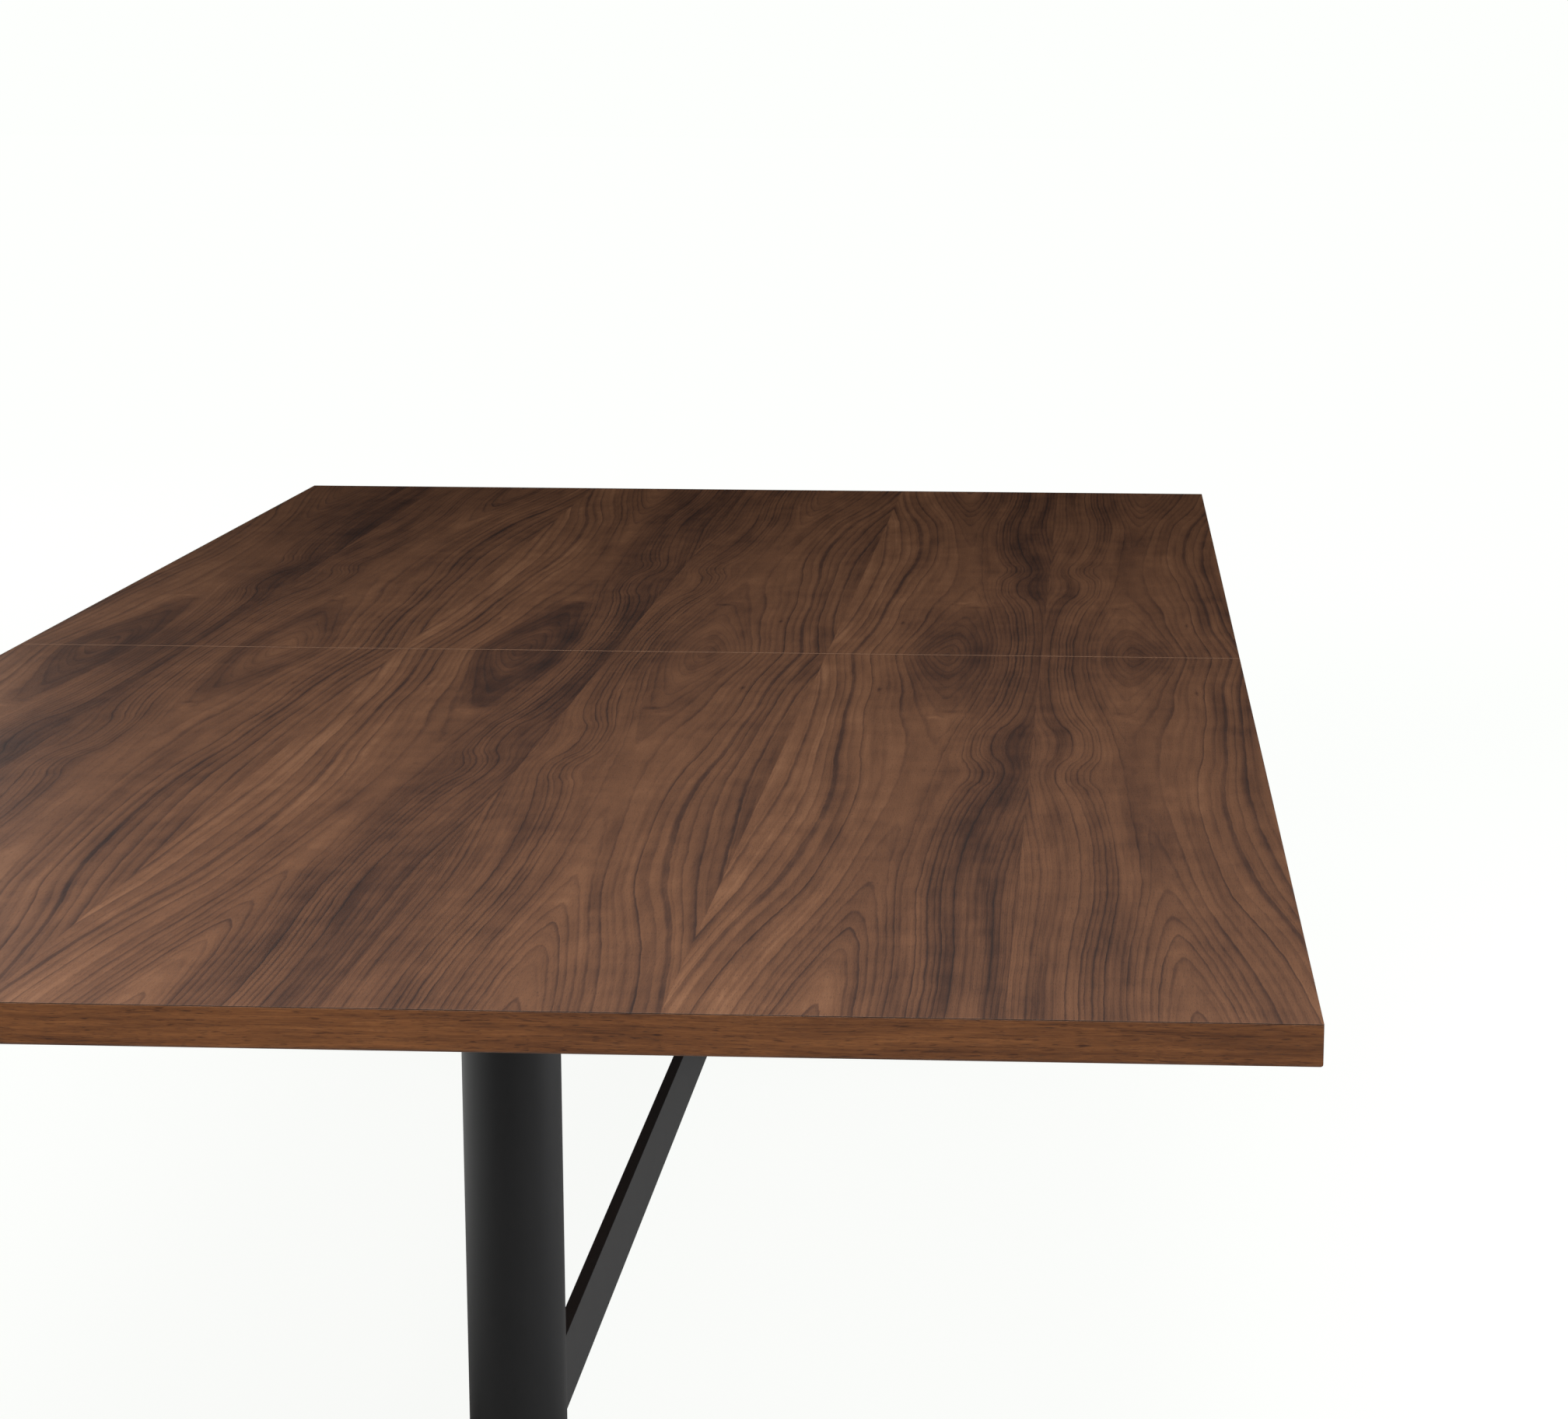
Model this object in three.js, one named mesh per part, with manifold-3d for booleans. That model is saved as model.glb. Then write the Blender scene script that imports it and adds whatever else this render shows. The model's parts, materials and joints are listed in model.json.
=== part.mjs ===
// Long walnut-veneered table: a two-part top on a steel sub-frame, two round columns,
// crosswise flat-bar feet and a low flat-bar stretcher.
// Millimetres, +Z up. Origin on the floor under the middle of the table.
// X runs across the table, Y along it: the front end is at -Y and the rear end at +Y.

import * as THREE from 'three';
import { mergeVertices } from 'three/addons/utils/BufferGeometryUtils.js';
import Module from 'manifold-3d';

const wasm = await Module();
wasm.setup();

// ---- driving dimensions ----
const LENGTH = 3100;
const WIDTH = 1450;
const HEIGHT = 730;
const TOP_THICK = 33;

const VENEER = 0.7;           // face and backing sheets
const GLUE = 0.1;             // glue line between sheets that are bonded
const CONTACT = 0.3;          // room between pieces that are bolted, welded or rest together
const BAND = 3;               // solid walnut edge band
const BAND_ROUND = 2.5;       // rounded lower arris of the band
const SEAM = 0.5;             // joint between the two halves of the top
const SEAM_BAND = 1;          // thin band on each joint edge

const DOWEL_D = 12;
const DOWEL_LENGTH = 60;
const DOWEL_X = [-650, -200, 200, 650];

const CONNECTOR_X = 560;      // draw bolts either side of the middle
const POCKET_D = 36;
const POCKET_OFF = 70;        // pocket centre to joint
const POCKET_DEPTH = 22;
const POCKET_SLOT = 10;
const POCKET_SIDES = 24;

const RAIL_X = 400;
const RAIL_LENGTH = 2500;
const RAIL_WIDTH = 60;
const RAIL_DEPTH = 30;
const RAIL_WALL = 3;
const RAIL_SCREW_Y = [-1180, -450, 450, 1180];

const COLUMN_Y = 820;
const COLUMN_D = 95;
const COLUMN_WALL = 3;
const COLUMN_SIDES = 72;

const ARM_LENGTH = 900;
const ARM_WIDTH = 80;
const ARM_THICK = 10;
const ARM_CORNER = 20;

const HEAD_SIZE = 150;
const HEAD_THICK = 8;
const HEAD_CORNER = 12;
const HEAD_BOLT_X = 59;

const BAR_UNDER = 12;         // floor to the lower edge of the feet and the stretcher
const BAR_HEIGHT = 82;        // stretcher
const STRETCHER_THICK = 14;
const FOOT_LENGTH = 900;
const FOOT_HEIGHT = 76;
const FOOT_THICK = 15;
const FOOT_CORNER = 8;

const SADDLE_WIDTH = 62;
const SADDLE_HEIGHT = 70;
const SADDLE_WEB = 14;        // thinnest part, between column and stretcher
const SADDLE_SCREW_X = 19;

const BOLT_D = 8;
const BOLT_HOLE_D = 9;
const BOLT_HEAD_D = 14;
const BOLT_HEAD = 4.4;
const BOLT_SOCKET_D = 5.5;
const BOLT_SOCKET_DEPTH = 2.6;
const ARM_BOLT = 55;          // shank lengths
const HEAD_BOLT = 17;
const SADDLE_BOLT = 32;
const ARM_BOLT_GRIP = 22;     // depth of the arm bolt's hole in the top

const SCREW_D = 5;
const SCREW_HOLE_D = 5.6;
const SCREW_HEAD_D = 10;
const SCREW_HEAD = 3;
const SCREW_LENGTH = 25;

const GLIDE_X = 425;
const GLIDE_PAD_D = 32;
const GLIDE_PAD = 5;
const GLIDE_NECK_D = 13;
const GLIDE_HEX_TOP = BAR_UNDER - CONTACT;
const GLIDE_HEX = 5;
const GLIDE_HEX_D = 15;       // across corners, 13 across flats
const GLIDE_STEM_D = 8;
const GLIDE_STEM = 28;
const GLIDE_BORE_D = 8.6;
const GLIDE_BORE = 32;

const HOLE_SIDES = 12;        // facets round a drilled hole
const TURNED_SIDES = 16;      // facets round a turned piece

// ---- levels worked out from the driving dimensions ----
const TOP_UNDER = HEIGHT - TOP_THICK;
const CORE_TOP = HEIGHT - VENEER - GLUE;
const CORE_UNDER = TOP_UNDER + VENEER + GLUE;
const RAIL_TOP = TOP_UNDER - CONTACT;
const RAIL_UNDER = RAIL_TOP - RAIL_DEPTH;
const ARM_TOP = RAIL_UNDER - CONTACT;
const ARM_UNDER = ARM_TOP - ARM_THICK;
const HEAD_TOP = ARM_UNDER - CONTACT;
const HEAD_UNDER = HEAD_TOP - HEAD_THICK;
const COLUMN_TOP = HEAD_UNDER - CONTACT;
const BAR_TOP = BAR_UNDER + BAR_HEIGHT;
const FOOT_TOP = BAR_UNDER + FOOT_HEIGHT;
const HALF_LENGTH = (LENGTH - SEAM) / 2;
const CORE_HALF_WIDTH = WIDTH / 2 - BAND - GLUE;
const SADDLE_FACE = COLUMN_D / 2 + SADDLE_WEB;

// ---- materials ----
const walnut = new THREE.MeshStandardMaterial({ color: 0x6a4630, roughness: 0.45, metalness: 0 });
const walnutBand = new THREE.MeshStandardMaterial({ color: 0x76492a, roughness: 0.5, metalness: 0 });
const board = new THREE.MeshStandardMaterial({ color: 0xb08e63, roughness: 0.9, metalness: 0 });
const beech = new THREE.MeshStandardMaterial({ color: 0xcfa878, roughness: 0.8, metalness: 0 });
const powderCoat = new THREE.MeshStandardMaterial({ color: 0x232527, roughness: 0.6, metalness: 0.2 });
const zinc = new THREE.MeshStandardMaterial({ color: 0x9a9da0, roughness: 0.35, metalness: 0.9 });
const blackSteel = new THREE.MeshStandardMaterial({ color: 0x1a1b1c, roughness: 0.4, metalness: 0.7 });

// ---- small tools ----

function toSolid(geometry) {
  const bare = geometry.clone();
  bare.deleteAttribute('normal');
  bare.deleteAttribute('uv');
  const merged = mergeVertices(bare, 1e-4);
  const mesh = new wasm.Mesh({
    numProp: 3,
    vertProperties: new Float32Array(merged.attributes.position.array),
    triVerts: new Uint32Array(merged.index.array),
  });
  return new wasm.Manifold(mesh);
}

function toGeometry(solid) {
  const mesh = solid.getMesh();
  const geometry = new THREE.BufferGeometry();
  geometry.setAttribute('position', new THREE.BufferAttribute(mesh.vertProperties, 3));
  geometry.setIndex(new THREE.BufferAttribute(mesh.triVerts, 1));
  geometry.computeVertexNormals();
  return geometry;
}

function cut(geometry, cutters) {
  return toGeometry(cutters.reduce((solid, c) => solid.subtract(toSolid(c)), toSolid(geometry)));
}

function join(geometries) {
  return toGeometry(geometries.map(toSolid).reduce((whole, piece) => whole.add(piece)));
}

// Box between two corners.
function box(low, high) {
  const size = high.map((value, i) => value - low[i]);
  const mid = high.map((value, i) => (value + low[i]) / 2);
  return new THREE.BoxGeometry(...size).translate(...mid);
}

// Round bar or hole cutter standing on +Z between two heights.
function rod(x, y, low, high, diameter, sides = HOLE_SIDES) {
  const geometry = new THREE.CylinderGeometry(diameter / 2, diameter / 2, high - low, sides);
  return geometry.rotateX(Math.PI / 2).translate(x, y, (low + high) / 2);
}

// The same along Y.
function rodAlongY(x, z, low, high, diameter, sides = HOLE_SIDES) {
  const geometry = new THREE.CylinderGeometry(diameter / 2, diameter / 2, high - low, sides);
  return geometry.translate(x, (low + high) / 2, z);
}

// Flat plate with rounded corners, centred on x and y.
function plate(x, y, low, high, width, length, corner) {
  const shape = new THREE.Shape();
  const w = width / 2;
  const l = length / 2;
  shape.moveTo(-w + corner, -l);
  shape.lineTo(w - corner, -l);
  shape.absarc(w - corner, -l + corner, corner, -Math.PI / 2, 0);
  shape.lineTo(w, l - corner);
  shape.absarc(w - corner, l - corner, corner, 0, Math.PI / 2);
  shape.lineTo(-w + corner, l);
  shape.absarc(-w + corner, l - corner, corner, Math.PI / 2, Math.PI);
  shape.lineTo(-w, -l + corner);
  shape.absarc(-w + corner, -l + corner, corner, Math.PI, 1.5 * Math.PI);
  const options = { depth: high - low, bevelEnabled: false, curveSegments: 5 };
  return new THREE.ExtrudeGeometry(shape, options).translate(x, y, low);
}

// Button-head bolt pointing up +Z: the underside of its head is at z = 0.
function boltGeometry(shank) {
  const r = BOLT_HEAD_D / 2;
  const profile = [
    new THREE.Vector2(0, -BOLT_HEAD),
    new THREE.Vector2(r * 0.6, -BOLT_HEAD),
    new THREE.Vector2(r, -BOLT_HEAD * 0.4),
    new THREE.Vector2(r, 0),
    new THREE.Vector2(BOLT_D / 2, 0),
    new THREE.Vector2(BOLT_D / 2, shank - 1),
    new THREE.Vector2(BOLT_D / 2 - 1, shank),
    new THREE.Vector2(0, shank),
  ];
  const body = new THREE.LatheGeometry(profile, TURNED_SIDES).rotateX(Math.PI / 2);
  const socket = rod(0, 0, -BOLT_HEAD - 1, -BOLT_HEAD + BOLT_SOCKET_DEPTH, BOLT_SOCKET_D, 6);
  return cut(body, [socket]);
}

// Pan-head wood screw pointing up +Z, head underside at z = 0, with a cross recess.
function screwGeometry() {
  const r = SCREW_HEAD_D / 2;
  const profile = [
    new THREE.Vector2(0, -SCREW_HEAD),
    new THREE.Vector2(r * 0.6, -SCREW_HEAD),
    new THREE.Vector2(r, -SCREW_HEAD * 0.4),
    new THREE.Vector2(r, 0),
    new THREE.Vector2(SCREW_D / 2, 0),
    new THREE.Vector2(SCREW_D / 2, SCREW_LENGTH - 6),
    new THREE.Vector2(0, SCREW_LENGTH),
  ];
  const body = new THREE.LatheGeometry(profile, HOLE_SIDES).rotateX(Math.PI / 2);
  const slotLow = -SCREW_HEAD - 1;
  const slotHigh = -SCREW_HEAD + 1.6;
  const recess = [
    box([-2.4, -0.5, slotLow], [2.4, 0.5, slotHigh]),
    box([-0.5, -2.4, slotLow], [0.5, 2.4, slotHigh]),
  ];
  return cut(body, recess);
}

function piece(parent, name, geometry, material) {
  const mesh = new THREE.Mesh(geometry, material);
  mesh.name = name;
  parent.add(mesh);
  return mesh;
}

// ---- the top ----

// Edge band, outer face at y = 0 facing -Y, from startX to endX; a mitred end slopes back
// by the band's own thickness. Its lower outer arris is rounded.
function bandGeometry(startX, endX, startMitre, endMitre) {
  const height = CORE_TOP - TOP_UNDER;
  const shape = new THREE.Shape();
  shape.moveTo(BAND, 0);
  shape.lineTo(BAND, height);
  shape.lineTo(0, height);
  shape.lineTo(0, BAND_ROUND);
  shape.absarc(BAND_ROUND, BAND_ROUND, BAND_ROUND, Math.PI, 1.5 * Math.PI);
  const length = endX - startX;
  const geometry = new THREE.ExtrudeGeometry(shape, {
    depth: length, bevelEnabled: false, curveSegments: 4,
  });
  const position = geometry.attributes.position;
  for (let i = 0; i < position.count; i += 1) {
    const inward = position.getX(i);
    const atEnd = position.getZ(i) > length / 2;
    const z = atEnd ? length - inward * endMitre : inward * startMitre;
    position.setZ(i, z);
  }
  const toPlace = new THREE.Matrix4().makeBasis(
    new THREE.Vector3(0, 1, 0), new THREE.Vector3(0, 0, 1), new THREE.Vector3(1, 0, 0),
  );
  return geometry.applyMatrix4(toPlace).translate(startX, 0, TOP_UNDER);
}

// Holes that the fasteners need in the underside of the front half.
function topHoles() {
  const holes = [];
  for (const x of [-RAIL_X, RAIL_X]) {
    for (const y of RAIL_SCREW_Y.filter((value) => value < 0)) {
      holes.push(rod(x, y, TOP_UNDER - 1, TOP_UNDER + SCREW_LENGTH - 1, SCREW_HOLE_D));
    }
    holes.push(rod(x, -COLUMN_Y, TOP_UNDER - 1, TOP_UNDER + ARM_BOLT_GRIP, BOLT_HOLE_D));
  }
  for (const x of [-CONNECTOR_X, CONNECTOR_X]) {
    const roof = TOP_UNDER + POCKET_DEPTH;
    holes.push(rod(x, -POCKET_OFF, TOP_UNDER - 1, roof, POCKET_D, POCKET_SIDES));
    const slot = POCKET_SLOT / 2;
    holes.push(box([x - slot, -POCKET_OFF, TOP_UNDER - 1], [x + slot, 1, roof]));
  }
  return holes;
}

// One half of the top, built as the front half; the rear half is the same one turned round.
function topHalf(end, leftName, rightName) {
  const half = new THREE.Group();
  const front = -LENGTH / 2;
  const seam = -SEAM / 2;
  const coreFront = front + BAND + GLUE;
  const coreSeam = seam - SEAM_BAND - GLUE;
  const midHeight = (CORE_TOP + CORE_UNDER) / 2;
  const dowelBores = DOWEL_X.map((x) => rodAlongY(
    x, midHeight, -DOWEL_LENGTH / 2 - 1.5, 2, DOWEL_D + 0.4,
  ));
  const holes = topHoles();

  const core = box([-CORE_HALF_WIDTH, coreFront, CORE_UNDER], [CORE_HALF_WIDTH, coreSeam, CORE_TOP - GLUE]);
  piece(half, `${end}_core_board`, cut(core, [...holes, ...dowelBores]), board);

  const face = box([-WIDTH / 2, front, HEIGHT - VENEER], [WIDTH / 2, seam, HEIGHT]);
  piece(half, `${end}_face_veneer`, face, walnut);

  const backing = box([-CORE_HALF_WIDTH, coreFront, TOP_UNDER],
    [CORE_HALF_WIDTH, coreSeam, TOP_UNDER + VENEER]);
  piece(half, `${end}_backing_veneer`, cut(backing, holes), walnut);

  const seamBand = box([-CORE_HALF_WIDTH, seam - SEAM_BAND, TOP_UNDER],
    [CORE_HALF_WIDTH, seam, CORE_TOP - GLUE]);
  piece(half, `${end}_seam_band`, cut(seamBand, [...holes, ...dowelBores]), walnutBand);

  // The three outer bands stop half a glue line short of each mitre.
  const reach = WIDTH / 2 - GLUE / 2;
  const endBand = piece(half, `${end}_end_band`, bandGeometry(-reach, reach, 1, 1), walnutBand);
  endBand.position.set(0, front, 0);

  const sideLength = HALF_LENGTH - GLUE / 2;
  const right = piece(half, `${end}_${rightName}_band`, bandGeometry(0, sideLength, 1, 0), walnutBand);
  right.position.set(WIDTH / 2, front + GLUE / 2, 0);
  right.rotation.z = Math.PI / 2;
  const left = piece(half, `${end}_${leftName}_band`, bandGeometry(0, sideLength, 0, 1), walnutBand);
  left.position.set(-WIDTH / 2, seam, 0);
  left.rotation.z = -Math.PI / 2;
  return half;
}

// Draw bolt in its keyhole pockets: a threaded rod, a half-moon washer and a nut at each end.
function connectorGeometry() {
  const z = TOP_UNDER + 11;
  const washerR = POCKET_D / 2 - 1;
  const parts = [rodAlongY(0, z, -POCKET_OFF - 14, POCKET_OFF + 14, BOLT_D)];
  for (const side of [-1, 1]) {
    const centre = side * POCKET_OFF;
    const disc = rod(0, centre, z - 8, z + 8, 2 * washerR, POCKET_SIDES);
    const away = [centre, centre + side * 2 * washerR].sort((a, b) => a - b);
    const half = box([-2 * washerR, away[0], z - 9], [2 * washerR, away[1], z + 9]);
    parts.push(cut(disc, [half]));
    const nut = [centre - side, centre + side * 7].sort((a, b) => a - b);
    parts.push(rodAlongY(0, z, nut[0], nut[1], 15, 6));
  }
  return join(parts);
}

function seamFittings() {
  const group = new THREE.Group();
  const midHeight = (CORE_TOP + CORE_UNDER) / 2;
  DOWEL_X.forEach((x, i) => {
    const dowel = rodAlongY(x, midHeight, -DOWEL_LENGTH / 2, DOWEL_LENGTH / 2, DOWEL_D);
    piece(group, `seam_dowel_${i + 1}`, dowel, beech);
  });
  for (const [name, x] of [['left', -CONNECTOR_X], ['right', CONNECTOR_X]]) {
    piece(group, `${name}_draw_bolt`, connectorGeometry().translate(x, 0, 0), zinc);
  }
  return group;
}

// ---- the sub-frame ----

// Steel channel, open downwards, with its web under the top.
function railGeometry(x) {
  const w = RAIL_WIDTH / 2;
  const l = RAIL_LENGTH / 2;
  const outer = box([x - w, -l, RAIL_UNDER], [x + w, l, RAIL_TOP]);
  const clear = w - RAIL_WALL;
  const inner = box([x - clear, -l - 1, RAIL_UNDER - 1], [x + clear, l + 1, RAIL_TOP - RAIL_WALL]);
  const web = [RAIL_TOP - RAIL_WALL - 1, RAIL_TOP + 1];
  const screwHoles = RAIL_SCREW_Y.map((y) => rod(x, y, web[0], web[1], SCREW_HOLE_D));
  const boltHoles = [-COLUMN_Y, COLUMN_Y].map((y) => rod(x, y, web[0], web[1], BOLT_HOLE_D));
  return cut(outer, [inner, ...screwHoles, ...boltHoles]);
}

function rails() {
  const group = new THREE.Group();
  for (const [side, x] of [['left', -RAIL_X], ['right', RAIL_X]]) {
    piece(group, `${side}_rail`, railGeometry(x), powderCoat);
    RAIL_SCREW_Y.forEach((y, i) => {
      const screw = piece(group, `${side}_rail_screw_${i + 1}`, screwGeometry(), zinc);
      screw.position.set(x, y, RAIL_TOP - RAIL_WALL - CONTACT);
    });
  }
  return group;
}

// ---- one column with its arm, head plate and foot ----

function armGeometry(y) {
  const bar = plate(0, y, ARM_UNDER, ARM_TOP, ARM_LENGTH, ARM_WIDTH, ARM_CORNER);
  const holes = [-RAIL_X, -HEAD_BOLT_X, HEAD_BOLT_X, RAIL_X].map(
    (x) => rod(x, y, ARM_UNDER - 1, ARM_TOP + 1, BOLT_HOLE_D),
  );
  return cut(bar, holes);
}

function headGeometry(y) {
  const flat = plate(0, y, HEAD_UNDER, HEAD_TOP, HEAD_SIZE, HEAD_SIZE, HEAD_CORNER);
  const holes = [-HEAD_BOLT_X, HEAD_BOLT_X].map(
    (x) => rod(x, y, HEAD_UNDER - 1, HEAD_TOP + 1, BOLT_HOLE_D),
  );
  return cut(flat, holes);
}

// Round tube, notched across its foot for the foot bar and drilled for the saddle screws.
// inward is +1 where the middle of the table lies towards +Y.
function columnGeometry(y, inward) {
  const tube = rod(0, y, BAR_UNDER, COLUMN_TOP, COLUMN_D, COLUMN_SIDES);
  const bore = rod(0, y, BAR_UNDER - 1, COLUMN_TOP + 1, COLUMN_D - 2 * COLUMN_WALL, COLUMN_SIDES);
  const slot = FOOT_THICK / 2 + CONTACT;
  const notch = box([-COLUMN_D, y - slot, BAR_UNDER - 1], [COLUMN_D, y + slot, FOOT_TOP + CONTACT]);
  const wall = [y + inward * 25, y + inward * COLUMN_D].sort((a, b) => a - b);
  const z = BAR_UNDER + BAR_HEIGHT / 2;
  const holes = [-SADDLE_SCREW_X, SADDLE_SCREW_X].map(
    (x) => rodAlongY(x, z, wall[0], wall[1], BOLT_HOLE_D),
  );
  return cut(tube, [bore, notch, ...holes]);
}

// Flat bar on edge with rounded ends, bored from below for the glides.
function footGeometry(y) {
  const shape = new THREE.Shape();
  const half = FOOT_LENGTH / 2;
  shape.moveTo(-half, BAR_UNDER);
  shape.lineTo(half, BAR_UNDER);
  shape.lineTo(half, FOOT_TOP - FOOT_CORNER);
  shape.absarc(half - FOOT_CORNER, FOOT_TOP - FOOT_CORNER, FOOT_CORNER, 0, Math.PI / 2);
  shape.lineTo(-half + FOOT_CORNER, FOOT_TOP);
  shape.absarc(-half + FOOT_CORNER, FOOT_TOP - FOOT_CORNER, FOOT_CORNER, Math.PI / 2, Math.PI);
  const bar = new THREE.ExtrudeGeometry(shape, {
    depth: FOOT_THICK, bevelEnabled: false, curveSegments: 4,
  });
  bar.rotateX(Math.PI / 2).translate(0, y + FOOT_THICK / 2, 0);
  const bores = [-GLIDE_X, GLIDE_X].map(
    (x) => rod(x, y, BAR_UNDER - 1, BAR_UNDER + GLIDE_BORE, GLIDE_BORE_D),
  );
  return cut(bar, bores);
}

// Block between column and stretcher: hollowed to the column on one side, flat on the other.
function saddleGeometry(y, inward) {
  const face = y + inward * SADDLE_FACE;
  const span = [y + inward * 33, face].sort((a, b) => a - b);
  const w = SADDLE_WIDTH / 2;
  const low = BAR_UNDER + (BAR_HEIGHT - SADDLE_HEIGHT) / 2;
  const block = box([-w, span[0], low], [w, span[1], low + SADDLE_HEIGHT]);
  const hollow = rod(0, y, BAR_UNDER, BAR_TOP, COLUMN_D + 2 * CONTACT, COLUMN_SIDES);
  const drill = [y, face + inward].sort((a, b) => a - b);
  const z = BAR_UNDER + BAR_HEIGHT / 2;
  const holes = [-SADDLE_SCREW_X, SADDLE_SCREW_X].map(
    (x) => rodAlongY(x, z, drill[0], drill[1], BOLT_HOLE_D),
  );
  return cut(block, [hollow, ...holes]);
}

// Levelling glide: domed pad, neck, hexagon and threaded stem, standing on z = 0.
function glideGeometry() {
  const r = GLIDE_PAD_D / 2;
  const hexUnder = GLIDE_HEX_TOP - GLIDE_HEX;
  const profile = [
    new THREE.Vector2(0, 0),
    new THREE.Vector2(r - 1, 0),
    new THREE.Vector2(r, 1),
    new THREE.Vector2(r, GLIDE_PAD * 0.45),
    new THREE.Vector2(r * 0.8, GLIDE_PAD * 0.85),
    new THREE.Vector2(r * 0.5, GLIDE_PAD),
    new THREE.Vector2(GLIDE_NECK_D / 2, GLIDE_PAD),
    new THREE.Vector2(GLIDE_NECK_D / 2, hexUnder + 1),
    new THREE.Vector2(GLIDE_STEM_D / 2, hexUnder + 1),
    new THREE.Vector2(GLIDE_STEM_D / 2, GLIDE_HEX_TOP + GLIDE_STEM - 1),
    new THREE.Vector2(GLIDE_STEM_D / 2 - 1, GLIDE_HEX_TOP + GLIDE_STEM),
    new THREE.Vector2(0, GLIDE_HEX_TOP + GLIDE_STEM),
  ];
  const turned = new THREE.LatheGeometry(profile, TURNED_SIDES).rotateX(Math.PI / 2);
  return join([turned, rod(0, 0, hexUnder, GLIDE_HEX_TOP, GLIDE_HEX_D, 6)]);
}

function pedestal(end, y, inward) {
  const group = new THREE.Group();
  piece(group, `${end}_arm`, armGeometry(y), powderCoat);
  piece(group, `${end}_head_plate`, headGeometry(y), powderCoat);
  piece(group, `${end}_column`, columnGeometry(y, inward), powderCoat);
  piece(group, `${end}_foot_bar`, footGeometry(y), powderCoat);
  piece(group, `${end}_saddle`, saddleGeometry(y, inward), powderCoat);

  for (const [side, sign] of [['left', -1], ['right', 1]]) {
    const railBolt = piece(group, `${end}_${side}_arm_bolt`, boltGeometry(ARM_BOLT), blackSteel);
    railBolt.position.set(sign * RAIL_X, y, ARM_UNDER - CONTACT);

    const headBolt = piece(group, `${end}_${side}_head_bolt`, boltGeometry(HEAD_BOLT), blackSteel);
    headBolt.position.set(sign * HEAD_BOLT_X, y, HEAD_UNDER - CONTACT);

    const saddleBolt = piece(group, `${end}_${side}_saddle_bolt`, boltGeometry(SADDLE_BOLT), blackSteel);
    const z = BAR_UNDER + BAR_HEIGHT / 2;
    saddleBolt.position.set(sign * SADDLE_SCREW_X, y + inward * (SADDLE_FACE + CONTACT), z);
    saddleBolt.rotation.x = inward * Math.PI / 2;

    const glide = piece(group, `${end}_${side}_glide`, glideGeometry(), blackSteel);
    glide.position.set(sign * GLIDE_X, y, 0);
  }
  return group;
}

function stretcherGeometry() {
  const reach = COLUMN_Y - SADDLE_FACE - CONTACT;
  const w = STRETCHER_THICK / 2;
  return box([-w, -reach, BAR_UNDER], [w, reach, BAR_TOP]);
}

// ---- assembly ----
const table = new THREE.Group();
table.add(topHalf('front', 'left', 'right'));
const rearHalf = topHalf('rear', 'right', 'left');
rearHalf.rotation.z = Math.PI;
table.add(rearHalf);
table.add(seamFittings());
table.add(rails());
table.add(pedestal('front', -COLUMN_Y, 1));
table.add(pedestal('rear', COLUMN_Y, -1));
piece(table, 'stretcher', stretcherGeometry(), powderCoat);

export default table;
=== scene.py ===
"""A long walnut-veneered table on two round black columns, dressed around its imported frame."""
import json
import math

import bmesh
import bpy
import numpy as np
from mathutils import Matrix, Vector


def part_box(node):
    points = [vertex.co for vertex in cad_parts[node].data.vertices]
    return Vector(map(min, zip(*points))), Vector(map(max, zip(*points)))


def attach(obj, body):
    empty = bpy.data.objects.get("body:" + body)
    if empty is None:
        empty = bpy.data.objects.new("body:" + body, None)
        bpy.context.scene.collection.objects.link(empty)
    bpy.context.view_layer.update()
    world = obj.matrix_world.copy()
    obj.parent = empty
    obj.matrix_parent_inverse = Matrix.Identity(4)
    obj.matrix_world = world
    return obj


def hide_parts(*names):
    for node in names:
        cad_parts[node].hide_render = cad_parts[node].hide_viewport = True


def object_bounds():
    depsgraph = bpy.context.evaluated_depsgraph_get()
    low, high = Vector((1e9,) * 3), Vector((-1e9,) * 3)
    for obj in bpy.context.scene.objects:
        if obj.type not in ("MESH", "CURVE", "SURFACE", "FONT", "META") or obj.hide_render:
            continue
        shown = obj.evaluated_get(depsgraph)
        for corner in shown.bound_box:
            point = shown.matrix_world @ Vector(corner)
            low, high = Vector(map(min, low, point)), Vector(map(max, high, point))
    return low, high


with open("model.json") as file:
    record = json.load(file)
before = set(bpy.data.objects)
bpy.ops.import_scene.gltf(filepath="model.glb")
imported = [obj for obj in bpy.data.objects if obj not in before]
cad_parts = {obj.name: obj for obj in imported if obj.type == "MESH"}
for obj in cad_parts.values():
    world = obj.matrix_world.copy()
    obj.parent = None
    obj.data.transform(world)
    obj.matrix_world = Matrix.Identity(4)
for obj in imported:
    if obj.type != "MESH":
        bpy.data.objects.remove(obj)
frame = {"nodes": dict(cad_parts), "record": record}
cad_low, cad_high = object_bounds()

MM = 0.001
ENDS = ("front", "rear")
SIDES = ("left", "right")

# ---- sizes read from the frame ----
HEIGHT = cad_high[2]
HALF_LENGTH = cad_high[1]

# ---- the veneer figure ----
LEAF = 252.5 * MM             # one veneer leaf across the grain
LEAF_JOINT = -12.8 * MM       # a close-grained joint between two leaves
RING_PITCH = 5.6 * MM         # one year's growth

# ---- eased edges ----
VENEER_EASE = 0.25 * MM
BAND_EASE = 0.3 * MM
TUBE_EASE = 0.5 * MM
CHANNEL_EASE = 0.7 * MM       # rails and stretcher
PLATE_EASE = 0.8 * MM         # head plates and saddles
BAR_EASE = 0.9 * MM           # arms and feet

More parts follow.
